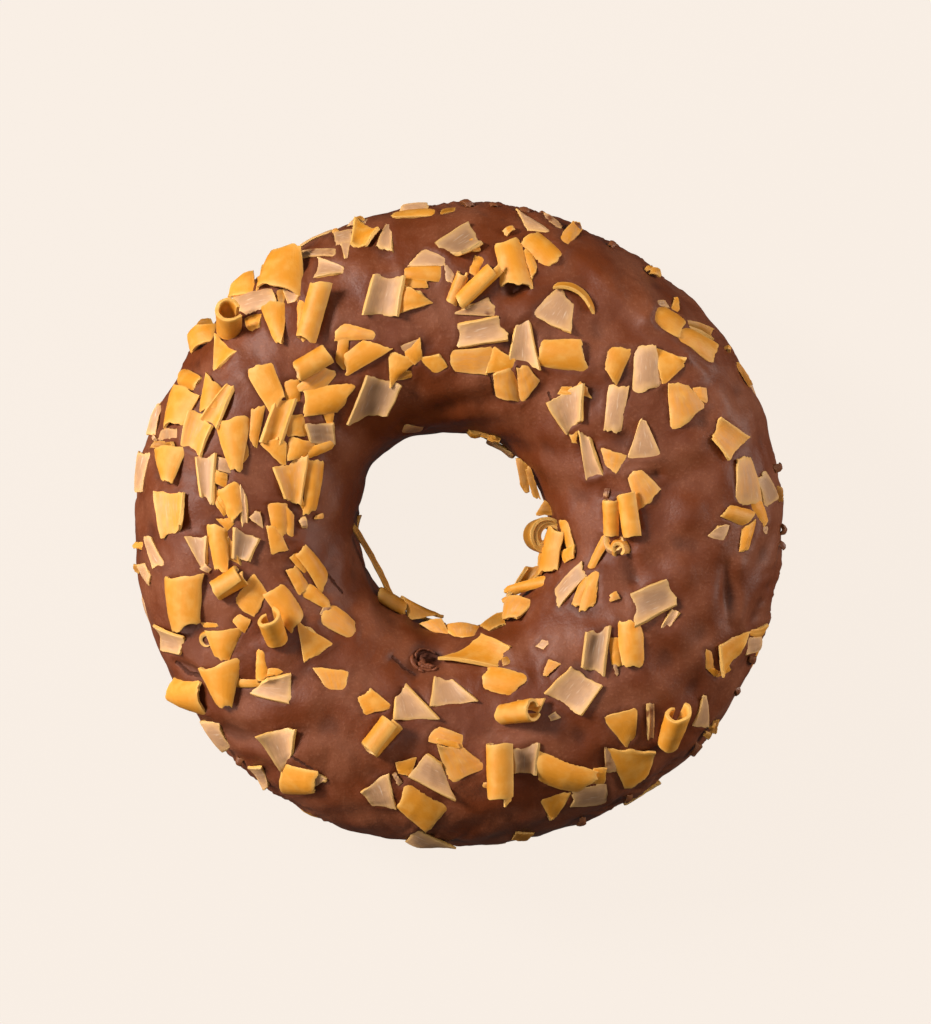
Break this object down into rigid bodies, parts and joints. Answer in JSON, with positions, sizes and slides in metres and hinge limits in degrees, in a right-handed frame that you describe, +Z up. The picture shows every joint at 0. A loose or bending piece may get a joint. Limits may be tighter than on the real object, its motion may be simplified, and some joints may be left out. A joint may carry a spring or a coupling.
{
  "type": "chocolate-coated ring doughnut",
  "caption": "Fried ring doughnut in a skin of set milk chocolate, strewn with curls of orange chocolate that lie partly sunk in the skin; rests on its flat underside.",
  "frame": {"origin": "on the floor under the middle of the ring, at the centre of the flat underside", "axes": "+Z up through the hole, +Y towards the top of the picture, +X to its right"},
  "size_m": [0.0943, 0.0925, 0.0347],
  "materials": {
    "fried_dough": "matt golden-brown fried dough crust, fine pores",
    "milk_chocolate": "satin set milk chocolate with soft dents and a faint bloom",
    "orange_chocolate": "matt orange chocolate curls, pale worn edges, tan on the inner face"
  },
  "bodies": {
    "root": {"dough_ring": "fried_dough", "chocolate_coat": "milk_chocolate"}
  },
  "joints": []
}
